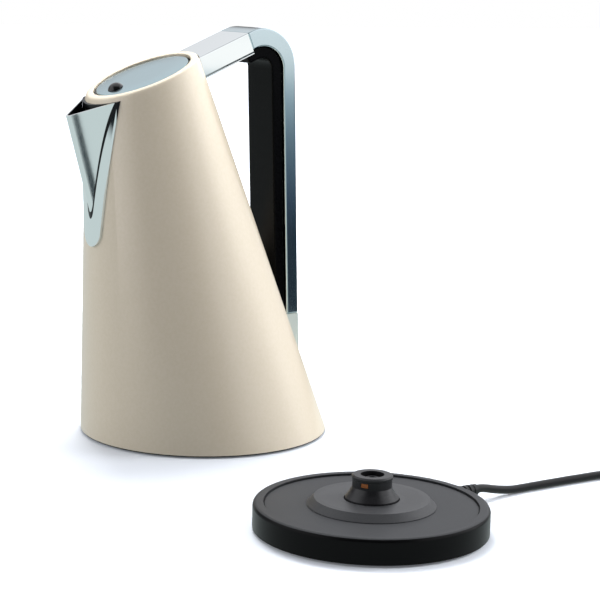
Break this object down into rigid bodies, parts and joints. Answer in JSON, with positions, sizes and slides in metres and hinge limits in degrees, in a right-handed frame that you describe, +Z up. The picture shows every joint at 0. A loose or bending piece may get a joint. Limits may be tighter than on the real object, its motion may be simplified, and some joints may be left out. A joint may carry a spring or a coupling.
{
  "type": "electric kettle with power base",
  "caption": "Cordless electric kettle in a leaning cone shape with a V spout, hinged flat lid and bow handle, standing beside its round corded power base.",
  "frame": {"origin": "middle of the set's outline on the surface it stands on, mains lead left out", "axes": "+Z up, +X from the spout to the handle, the power base on the -Y side of the kettle"},
  "size_m": [0.3656, 0.4289, 0.2905],
  "materials": {
    "cream_paint": "satin gloss baked enamel",
    "polished_chrome": "polished chrome plate",
    "blued_chrome": "polished chrome plate on the handle",
    "polished_steel": "polished stainless steel lid",
    "inner_steel": "satin stainless steel",
    "strainer_steel": "satin perforated stainless steel",
    "heat_aluminium": "rolled aluminium",
    "element_metal": "matte oxidised tube",
    "screw_steel": "zinc plated steel",
    "contact_brass": "plated spring brass",
    "contact_copper": "copper alloy spring contact",
    "gloss_black": "polished black plastic",
    "matte_black": "fine textured black plastic",
    "hub_black": "fine textured dark grey plastic",
    "seat_black": "smooth black plastic",
    "control_plastic": "moulded thermoset plastic",
    "pan_plastic": "moulded dark grey plastic",
    "white_plastic": "moulded white plastic",
    "silicone": "translucent grey silicone",
    "foot_rubber": "matte rubber",
    "cord_rubber": "smooth flexible cord sheath",
    "wire_sheath": "coloured wire insulation",
    "amber_lens": "translucent amber lens"
  },
  "bodies": {
    "power_base": {"base_shell": "matte_black", "base_hub": "hub_black", "connector_post": "gloss_black", "ring_contact": "contact_brass", "centre_contact": "contact_brass", "earth_contacts": "contact_copper", "base_bottom": "matte_black", "base_feet": "foot_rubber", "base_screws": "screw_steel", "terminal_block": "white_plastic", "lead_wires": "wire_sheath", "cord_clamp": "matte_black", "strain_relief": "cord_rubber", "cord_tube": "cord_rubber", "cord_coil": "cord_rubber", "cord_tie": "matte_black", "plug_body": "cord_rubber", "plug_pins": "screw_steel", "plug_earth_clips": "screw_steel"},
    "kettle": {"body_shell": "cream_paint", "rim_seat": "seat_black", "water_vessel": "inner_steel", "spout": "polished_chrome", "spout_flange": "polished_chrome", "spout_seal": "silicone", "spout_strainer": "strainer_steel", "heater_plate": "inner_steel", "heat_spreader": "heat_aluminium", "heating_element": "element_metal", "thermostat_control": "control_plastic", "socket_contacts": "contact_brass", "steam_tube": "white_plastic", "bottom_cover": "control_plastic", "kettle_feet": "foot_rubber", "cover_screws": "screw_steel", "handle_block": "polished_chrome", "block_underplate": "polished_chrome", "handle_frame": "blued_chrome", "handle_grip": "gloss_black", "lower_bracket": "polished_chrome", "handle_screws": "screw_steel", "switch_pin": "screw_steel", "switch_body": "control_plastic", "indicator_lens": "amber_lens", "hinge_pin": "screw_steel"},
    "lid": {"lid_plate": "polished_steel", "lid_pan": "pan_plastic", "lid_gasket": "silicone", "lid_knob": "gloss_black", "knob_screw": "screw_steel"},
    "switch": {"switch_rocker": "matte_black"}
  },
  "joints": [
    {"name": "kettle_lift", "type": "slide", "parent": "power_base", "child": "kettle", "axis": [0, 0, 1], "range_m": [0, 0.15]},
    {"name": "lid_hinge", "type": "hinge", "parent": "kettle", "child": "lid", "pos_m": [-0.01556, 0.12279, 0.2669], "axis": [0, 1, 0], "range_deg": [0, 64]},
    {"name": "switch_rock", "type": "hinge", "parent": "kettle", "child": "switch", "pos_m": [0.07622, 0.12279, 0.1039], "axis": [0, 1, 0], "range_deg": [0, 12]}
  ]
}
